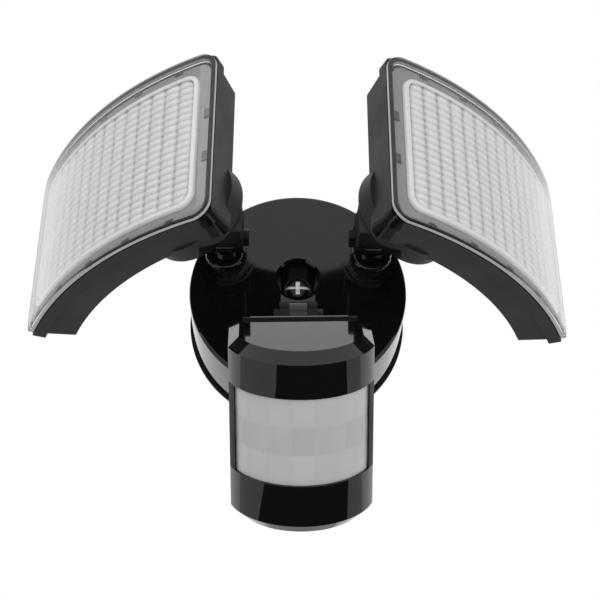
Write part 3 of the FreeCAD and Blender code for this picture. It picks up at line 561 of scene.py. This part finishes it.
# how far the painted groove shade reaches past the field, and its width as a share of a cell between the
# columns and between the rows
groove_past_field, column_groove, row_groove = 0.0004, 0.2, 0.3


def on_cover(side, radius, across, up):
    """A point of a head from its distances round the arc and up from the cover's middle."""
    return on_head(side, radius, arc_middle + math.degrees(across / cover_radius), arc_middle_up + up)


def grid_faces(lines, per_line, start=0):
    """Faces of a grid of points that is stored line by line."""
    return [(first, first + 1, first + per_line + 1, first + per_line) for line in range(lines - 1)
            for first in range(start + line * per_line, start + (line + 1) * per_line - 1)]


def panel_lines(half, cells, per_cell):
    """Distances from the middle: the edge, the border's bevels, then even steps over the cells."""
    field = half - border_wide
    edge = [-half + inset for inset in border_bevel] + [-field - border_foot, -field - border_crease]
    inside = [-field + 2 * field * step / (cells * per_cell) for step in range(cells * per_cell + 1)]
    return edge + inside + [-value for value in reversed(edge)]


def place_in_cell(across, up):
    """Where a point lies in its cushion, from 0 to 1 across and up."""
    return ((across + field_half_turn) / (2 * field_half_turn) * panel_columns % 1.0,
            (up + field_half_up) / (2 * field_half_up) * panel_rows % 1.0)


def panel_height(across, up):
    """Height of the optic panel above the tray's face."""
    inside = min(panel_half_turn - abs(across), panel_half_up - abs(up))
    if inside < border_end:
        rise = min(1.0, inside / border_bevel[-1])
        dip = max(0.0, (inside - border_wide + border_foot) / border_foot)
        return border_high * math.sqrt(max(0.0, 1 - (1 - rise) ** 2)) - border_drop * dip
    cell_across, cell_up = (place * 2 - 1 for place in place_in_cell(across, up))
    return cushion_foot + cushion_high * ((1 - cell_across ** 4) * (1 - cell_up ** 2))


def groove_shade(across, up):
    """How much painted shade a point of the panel gets in a groove: 1 between the columns, less between the
    rows.
    """
    if abs(across) > field_half_turn + groove_past_field or abs(up) > field_half_up + groove_past_field:
        return 0.0
    cell_across, cell_up = place_in_cell(across, up)
    beside = max(0.0, 1 - min(cell_across, 1 - cell_across) / column_groove)
    between = max(0.0, 1 - min(cell_up, 1 - cell_up) / row_groove)
    return min(1.0, 0.5 * beside + 0.25 * between + 0.6 * beside * between)


def rounded(across, up):
    """A point of the panel, drawn in where it lies in a round corner."""
    near_across = abs(across) - (panel_half_turn - panel_corner)
    near_up = abs(up) - (panel_half_up - panel_corner)
    if near_across <= 0 or near_up <= 0:
        return across, up
    shrink = max(near_across, near_up) / math.hypot(near_across, near_up)
    return (math.copysign(panel_half_turn - panel_corner + near_across * shrink, across),
            math.copysign(panel_half_up - panel_corner + near_up * shrink, up))


across_lines = panel_lines(panel_half_turn, panel_columns, column_steps)
up_lines = panel_lines(panel_half_up, panel_rows, row_steps)
panel_spots = [(across, up) for across in across_lines for up in up_lines]
groove_shades = [groove_shade(across, up) for across, up in panel_spots]
for arm, side in head_sides:
    points = [on_cover(side, tray_face + panel_height(across, up), *rounded(across, up))
              for across, up in panel_spots]
    faces = grid_faces(len(across_lines), len(up_lines))
    panel = make_piece(arm + "_optic_panel", points, faces, optic_frosted, arm + "_head")
    panel.data.attributes.new("groove", "FLOAT", "POINT").data.foreach_set("value", groove_shades)
    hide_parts(arm + "_diffuser")


# Cover of each head: one curved moulding of clear polycarbonate that stands on the rim, with a polished face,
# a rounded edge, a side wall in opaque light grey, painted light that stands for the glow of the clear edge,
# and a black sealing line under its skirt.

def make_clear(name, tint):
    """Clear moulded plastic that lets daylight through to what lies behind it."""
    material = bpy.data.materials.new(name)
    material.use_nodes = True
    nodes, links = material.node_tree.nodes, material.node_tree.links
    shader, output = nodes["Principled BSDF"], nodes["Material Output"]
    shader.inputs["Base Color"].default_value = (*tint, 1)
    shader.inputs["Transmission Weight"].default_value = 1.0
    shader.inputs["IOR"].default_value = 1.32
    swirl, dull = nodes.new("ShaderNodeTexNoise"), nodes.new("ShaderNodeMapRange")
    swirl.inputs["Scale"].default_value = 60
    dull.inputs["To Min"].default_value = 0.0
    dull.inputs["To Max"].default_value = 0.04
    links.new(swirl.outputs["Fac"], dull.inputs["Value"])
    links.new(dull.outputs["Result"], shader.inputs["Roughness"])
    path, either = nodes.new("ShaderNodeLightPath"), nodes.new("ShaderNodeMath")
    through, mixed = nodes.new("ShaderNodeBsdfTransparent"), nodes.new("ShaderNodeMixShader")
    either.operation = "MAXIMUM"
    links.new(path.outputs["Is Shadow Ray"], either.inputs[0])
    links.new(path.outputs["Is Diffuse Ray"], either.inputs[1])
    links.new(either.outputs["Value"], mixed.inputs["Fac"])
    links.new(shader.outputs["BSDF"], mixed.inputs[1])
    links.new(through.outputs["BSDF"], mixed.inputs[2])
    links.new(mixed.outputs["Shader"], output.inputs["Surface"])
    return material


clear_cover = make_clear("clear_polycarbonate", (0.97, 0.97, 0.97))
# opaque light grey for the cover's side wall: painted light that stands for the glow of the clear edge
lit_edge_grey = make_finish("cover_edge_painted_light", (0.34, 0.34, 0.34), (0.42, 0.42, 0.42), 0.3, 0.45,
                           grain_size=1200)
cover_corner, corner_steps, flat_steps, cover_rows = 0.0100, 12, 48, 24
# insets from the outline and radii: of the two polished skins, then round the edge between them
cover_skins = ((0.0009, cover_radius), (0.0026, 0.1948))
cover_wall = ((0.0009, cover_radius), (0.0005, 0.19688), (0.0002, 0.19662), (0.0, 0.1962), (0.0, 0.1945),
              (0.0002, 0.19425), (0.0026, 0.19425), (0.0026, 0.1948))
wall_finish = (0, 0, 0, 1, 1, 2, 2)  # material slot of each band of the wall: clear, painted light grey, sealing line
weld_distance = 0.000005


def cover_columns(inset):
    """Distances round the arc for the columns of a face inset from the outline, closer in the corners."""
    half, corner = cover_half_turn - inset, cover_corner - inset
    bend = [half - corner + corner * math.cos(math.radians(90 * step / corner_steps))
            for step in range(corner_steps)]
    flat = half - corner
    middle = [-flat + 2 * flat * step / flat_steps for step in range(flat_steps + 1)]
    return [-value for value in bend] + middle + bend[::-1]


def cover_face(inset):
    """Columns of (round the arc, up) over a rounded rectangle inset from the cover's outline."""
    grid = []
    for across in cover_columns(inset):
        into = max(0.0, abs(across) - (cover_half_turn - cover_corner))
        reach = head_half_up - cover_corner + math.sqrt(max(0.0, (cover_corner - inset) ** 2 - into ** 2))
        grid.append([(across, reach * (2 * row / cover_rows - 1)) for row in range(cover_rows + 1)])
    return grid


def cover_rim(grid):
    """The points round the outside of a grid, once round."""
    return (grid[0] + [column[-1] for column in grid[1:]] + grid[-1][-2::-1]
            + [column[0] for column in grid[-2:0:-1]])


for arm, side in head_sides:
    points, faces = [], []
    for inset, radius in cover_skins:
        grid = cover_face(inset)
        faces += grid_faces(len(grid), cover_rows + 1, start=len(points))
        points += [on_cover(side, radius, across, up) for column in grid for across, up in column]
    skin_faces, skin_points = len(faces), len(points)
    for inset, radius in cover_wall:
        rim = cover_rim(cover_face(inset))
        points += [on_cover(side, radius, across, up) for across, up in rim]
    faces += faces_between(len(cover_wall), len(rim), start=skin_points)
    cover = make_piece(arm + "_cover", points, faces, clear_cover, arm + "_head")
    # second slot: the painted light grey of the side wall
    cover.data.materials.append(lit_edge_grey)
    cover.data.materials.append(seal_black)
    for index in range(skin_faces, len(faces)):
        cover.data.polygons[index].material_index = wall_finish[(index - skin_faces) // len(rim)]
    solid = bmesh.new()
    solid.from_mesh(cover.data)
    bmesh.ops.remove_doubles(solid, verts=solid.verts, dist=weld_distance)
    bmesh.ops.recalc_face_normals(solid, faces=solid.faces)
    solid.to_mesh(cover.data)
    solid.free()
    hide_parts(arm + "_lens")


# Motion sensor: a gloss black hood and cap with bevelled rims on a satin black housing, four
# screws in the back, and the electronics inside. It leans forward from its own knuckle, and
# a low lip runs along the rear edge of the hood's top.

satin_black = make_finish("satin_black_moulding", (0.0015, 0.0015, 0.0016), (0.003, 0.003, 0.003), 0.4, 0.5,
                          grain_size=500, grain_depth=0.000003, shine=0.12)
dress(gloss_black, "sensor_hood", "sensor_cap")
dress(satin_black, "sensor_housing")
dress(board_white, "sensor_board")
dress(bright_steel, "pyro_can")
dress(emitter_yellow, "photocell")
dress(driver_case, "relay")

sensor_turn, sensor_tilt = math.radians(-1.5), math.radians(45)
sensor_lean = Matrix.Rotation(sensor_turn, 3, "Y") @ Matrix.Rotation(sensor_tilt, 3, "X")
sensor_pivot = Vector((0, -0.066, -0.027))
# half length, front, back and height of the lip's foot, edge and top
lip_levels = ((0.0292, -0.0322, -0.0306, 0.0097), (0.0292, -0.0322, -0.0306, 0.0116),
              (0.0289, -0.0319, -0.0309, 0.0119))
sensor_back, sensor_screw_aside, sensor_screw_heights = -0.0258, 0.0282, (-0.0206, -0.0527)


def on_sensor(across, out, up):
    """A point of the sensor in the row frame."""
    return sensor_pivot + sensor_lean @ Vector((across, out, up))


points = [on_sensor(sign * half_long, out, up) for half_long, front, back, up in lip_levels
          for sign, out in ((-1, front), (1, front), (1, back), (-1, back))]
faces = faces_between(len(lip_levels), 4) + [(8, 9, 10, 11)]
make_piece("hood_rear_lip", points, faces, gloss_black, "sensor", smooth=False)

screws = []
for screw_x in (-sensor_screw_aside, sensor_screw_aside):
    for screw_z in sensor_screw_heights:
        screws.append(pan_head(lambda a, b, out: on_sensor(screw_x - a, sensor_back + out, screw_z + b),
                               radius=0.0027, height=0.0007, depth=0.0006))
points, faces = join_parts(screws)
piece = make_piece("sensor_back_screws", points, faces, bright_steel, "sensor")
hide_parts("sensor_screws")


# Sensor window: a milky sheet of soft plastic bent round the front, embossed with three rows
# of shallow lens segments.

milky_window = make_finish("milky_window", (0.40, 0.40, 0.40), (0.47, 0.47, 0.47), 0.3, 0.42,
                           grain_size=240, grain_depth=0.00002)
# darker patches: painted shade in the seams between lens segments, the middle row and some segments darker,
# and a painted highlight along the middle row's ledges
tint_by_points(milky_window, "patch", (0.5, 0.5, 0.5))
window_axis, window_outer, window_inner, window_half_wide = -0.0451, 0.03688, 0.0355, 0.03340
window_half_turn = math.asin(window_half_wide / window_outer)
window_low, window_high = -0.0586, -0.0127
window_rows = ((window_low, -0.0430, 7), (-0.0430, -0.0280, 9), (-0.0280, window_high, 7))
window_steps_up, window_steps_round = 48, 126
segment_depth, seam_wide, ledge_high = 0.00022, 0.12, 0.0009
# how much darker the middle row and some segments are, the painted shade in the seams, and the painted
# highlight on the middle row's ledges
middle_shade, segment_shade, seam_shade, ledge_highlight = 0.17, 0.035, 0.06, 0.10


def segment_relief(turn, up):
    """Depth of the lens segments below the window's skin."""
    for low, high, count in window_rows:
        if low <= up <= high:
            cell_round = (turn + window_half_turn) / (2 * window_half_turn) * count % 1.0 * 2 - 1
            cell_up = (up - low) / (high - low) * 2 - 1
            return segment_depth * min(1.0, 0.5 * cell_round ** 2 + 0.5 * cell_up ** 2)
    return segment_depth


def patch_shade(turn, up):
    """How much darker a point of the window is painted: painted shade in the seams, the middle row and some
    segments darker, a painted highlight on the middle row's ledges.
    """
    row = next(index for index, (_, high, _) in enumerate(window_rows) if up <= high or index == 2)
    low, high, count = window_rows[row]
    cell = (turn + window_half_turn) / (2 * window_half_turn) * count
    seam = max(0.0, 1 - min(cell % 1.0, 1 - cell % 1.0) / seam_wide)
    ledge = max(0.0, 1 - min(abs(up - low), abs(up - high)) / ledge_high)
    shade = middle_shade * (row == 1) + segment_shade * (int(cell) * 5 % 3) + seam_shade * seam
    return max(0.0, shade - ledge_highlight * ledge * (row == 1))


points, patches = [], []
for is_outer in (True, False):
    for row in range(window_steps_up + 1):
        up = window_low + (window_high - window_low) * row / window_steps_up
        for step in range(window_steps_round + 1):
            turn = -window_half_turn + 2 * window_half_turn * step / window_steps_round
            radius = window_outer - segment_relief(turn, up) if is_outer else window_inner
            points.append(on_sensor(radius * math.sin(turn), window_axis - radius * math.cos(turn), up))
            patches.append(patch_shade(turn, up))
columns, layer_size = window_steps_round + 1, len(points) // 2
faces = []
for face in grid_faces(window_steps_up + 1, columns):
    turned_over = (face[0], face[3], face[2], face[1])
    faces += [face, tuple(layer_size + index for index in turned_over)]
outline = list(range(columns))
outline += [row * columns + window_steps_round for row in range(1, window_steps_up + 1)]
outline += [window_steps_up * columns + step for step in range(window_steps_round - 1, -1, -1)]
outline += [row * columns for row in range(window_steps_up - 1, 0, -1)]
for here, after in zip(outline, outline[1:] + outline[:1]):
    faces.append((here, layer_size + here, layer_size + after, after))
window = make_piece("segmented_window", points, faces, milky_window, "sensor")
window.data.attributes.new("patch", "FLOAT", "POINT").data.foreach_set("value", patches)
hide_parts("pir_lens")


# Controls under the sensor: two small knurled dials with a screwdriver slot, each inside a
# ring of raised ticks on the cap.

dial_grey = make_finish("dial_grey", (0.02, 0.02, 0.021), (0.03, 0.03, 0.031), 0.3, 0.42)
dial_places = (("time_dial", -0.013), ("range_dial", 0.013))
dial_steps, dial_face_rings, dial_face = 120, 19, -0.0884
dial_profile = [(0.0046, -0.0826), (0.00542, -0.0826), (0.00542, -0.0858), (0.00542, -0.0875),
                (0.00535, -0.0880), (0.0050, -0.0883)]
dial_profile += [(0.0048 - 0.00025 * ring, dial_face) for ring in range(dial_face_rings)]
teeth, tooth_depth, teeth_inside, teeth_top = 30, 0.00022, 0.0051, -0.0860
# the slot for a screwdriver, and the places that points near its walls move to
notch_half, notch_reach, notch_deep = 0.0006, 0.0044, 0.0010
notch_brink, notch_foot, notch_near = 0.00062, 0.00058, 0.00017


def knurled(radius, along, angle):
    """Fine grip teeth round the rim."""
    if radius <= teeth_inside or along >= teeth_top:
        return radius
    return radius - tooth_depth * (0.5 + 0.5 * math.cos(teeth * angle))


for name, dial_x in dial_places:
    round_points, faces = turned(dial_profile, dial_steps,
                                 lambda a, b, along: (dial_x + a, window_axis + b, along), knurled)
    faces.append(tuple(range(len(round_points) - dial_steps, len(round_points))))
    points = []
    for x, y, up in round_points:
        aside, in_face = x - dial_x, abs(y - window_axis) < notch_reach and up == dial_face
        if in_face and abs(abs(aside) - notch_half) < notch_near:
            aside = math.copysign(notch_brink if abs(aside) > notch_half else notch_foot, aside)
        if in_face and abs(aside) < notch_half:
            up += notch_deep
        points.append(on_sensor(dial_x + aside, y, up))
    dial = make_piece(name + "_knob", points, faces, dial_grey, name)
    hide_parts(name)

ticks_round_dial, first_tick, tick_apart = 11, -225, 27
tick_foot, tick_top, tick_taper = -0.0857, -0.08602, 0.8
# distance from the dial's middle, half length and half width of a tick
long_tick, short_tick = (0.0076, 0.0009, 0.00026), (0.0073, 0.0006, 0.00018)
tick_faces = [(4, 5, 6, 7), (0, 1, 5, 4), (1, 2, 6, 5), (2, 3, 7, 6), (3, 0, 4, 7)]
tick_parts = []
for _, dial_x in dial_places:
    for tick in range(ticks_round_dial):
        angle = math.radians(first_tick + tick_apart * tick)
        along, aside = Vector((math.cos(angle), math.sin(angle))), Vector((-math.sin(angle), math.cos(angle)))
        distance, half_long, half_wide = short_tick if tick % 5 else long_tick
        centre = Vector((dial_x, window_axis)) + along * distance
        corners = []
        for level, shrink in ((tick_foot, 1.0), (tick_top, tick_taper)):
            for long_sign, wide_sign in ((-1, -1), (1, -1), (1, 1), (-1, 1)):
                spot = centre + along * (half_long * long_sign * shrink)
                spot += aside * (half_wide * wide_sign * shrink)
                corners.append(on_sensor(spot.x, spot.y, level))
        tick_parts.append((corners, tick_faces))
points, faces = join_parts(tick_parts)
make_piece("dial_ticks", points, faces, dial_grey, "sensor", smooth=False)


# Studio: a pale floor well below the light, an even white surround, large soft lamps, and
# black flags that only the polished faces mirror.

world = bpy.data.worlds.new("white_surround")
bpy.context.scene.world = world
world.use_nodes = True
nodes, links = world.node_tree.nodes, world.node_tree.links
background = nodes["Background"]
background.inputs["Color"].default_value = (1, 1, 1, 1)
path, level = nodes.new("ShaderNodeLightPath"), nodes.new("ShaderNodeMapRange")
seen, shown = nodes.new("ShaderNodeMath"), nodes.new("ShaderNodeMath")
seen.operation = shown.operation = "MAXIMUM"
links.new(path.outputs["Is Camera Ray"], seen.inputs[0])
links.new(path.outputs["Is Glossy Ray"], seen.inputs[1])
links.new(seen.outputs["Value"], shown.inputs[0])
links.new(path.outputs["Is Transmission Ray"], shown.inputs[1])
links.new(shown.outputs["Value"], level.inputs["Value"])
level.inputs["To Min"].default_value = 0.62
level.inputs["To Max"].default_value = 1.0
links.new(level.outputs["Result"], background.inputs["Strength"])


def stage_panel(name, corners, material):
    """A flat panel of the studio."""
    mesh = bpy.data.meshes.new(name)
    mesh.from_pydata(corners, [], [tuple(range(len(corners)))])
    mesh.materials.append(material)
    panel = bpy.data.objects.new(name, mesh)
    bpy.context.scene.collection.objects.link(panel)
    return panel


floor_half, floor_level = 4, -0.56
floor_pale = make_finish("floor_pale", (0.86, 0.86, 0.86), (0.88, 0.88, 0.88), 0.7, 0.8,
                         grain_size=20, grain_depth=0.0)
stage_panel("floor", [(x * floor_half, y * floor_half, floor_level)
                      for x, y in ((-1, -1), (1, -1), (1, 1), (-1, 1))], floor_pale)

flag_black = bpy.data.materials.new("flag_black")
flag_black.use_nodes = True
for socket, value in (("Base Color", (0, 0, 0, 1)), ("Roughness", 1.0), ("Specular IOR Level", 0.0)):
    flag_black.node_tree.nodes["Principled BSDF"].inputs[socket].default_value = value

# the front flag stands before the wall, a rectangle with a round bite out of its top (x and z); the
# low flag lies just above the floor (x and y)
front_flag_out, low_flag_level = -2.0, -0.55
flag_left, flag_right, flag_bottom, flag_top = -0.26, 0.30, 0.892, 1.10
bite_x, bite_z, bite_radius = 0.027, 1.276, 0.254
bite_angles = [math.radians(45 - 9 * step) for step in range(11)]
front_outline = [(flag_left, flag_bottom), (flag_right, flag_bottom), (flag_right, flag_top)]
front_outline += [(bite_x + bite_radius * math.sin(turn), bite_z - bite_radius * math.cos(turn))
                  for turn in bite_angles]
front_outline += [(flag_left, flag_top)]
low_outline = ((-0.20, -0.75), (0.97, -0.75), (0.97, 0.08), (-0.70, 0.08), (-0.56, -0.05), (-0.49, -0.11),
               (-0.34, -0.26), (-0.33, -0.30))
front_flag = stage_panel("front_flag", [(x, front_flag_out, z) for x, z in front_outline], flag_black)
low_flag = stage_panel("low_flag", [(x, y, low_flag_level) for x, y in low_outline], flag_black)
for flag in (front_flag, low_flag):
    flag.visible_camera = flag.visible_diffuse = flag.visible_shadow = flag.visible_transmission = False

lamp_aim = Vector((0, -0.05, 0))
for name, spot, size, power in (("key_lamp", (-0.9, -1.3, 1.2), 1.4, 14),
                                ("fill_lamp", (1.2, -1.1, 0.1), 1.2, 6),
                                ("under_lamp", (0.0, -0.9, -0.5), 1.0, 4)):
    lamp = bpy.data.lights.new(name, "AREA")
    lamp.size, lamp.energy = size, power
    holder = bpy.data.objects.new(name, lamp)
    holder.location = spot
    holder.rotation_euler = (lamp_aim - Vector(spot)).to_track_quat("-Z", "Y").to_euler()
    holder.visible_glossy = False
    bpy.context.scene.collection.objects.link(holder)


# Camera: below the light and almost square to the wall, looking up at it through a long lens,
# and rolled a little, as the photograph is.

eye, aim, roll = Vector((-0.0097, -0.7605, -0.3603)), Vector((0.00183, 0, 0.01629)), math.radians(0.32)
ahead = (aim - eye).normalized()
level_right = ahead.cross(Vector((0, 0, 1))).normalized()
level_up = level_right.cross(ahead)
right = level_right * math.cos(roll) + level_up * math.sin(roll)
above = level_up * math.cos(roll) - level_right * math.sin(roll)
view = bpy.data.cameras.new("photo_camera")
view.sensor_width, view.lens = 36.0, 87.0
camera = bpy.data.objects.new("photo_camera", view)
camera.matrix_world = Matrix.Translation(eye) @ Matrix((right, above, -ahead)).transposed().to_4x4()
bpy.context.scene.collection.objects.link(camera)
bpy.context.scene.camera = camera
bpy.context.scene.view_settings.view_transform = "Standard"
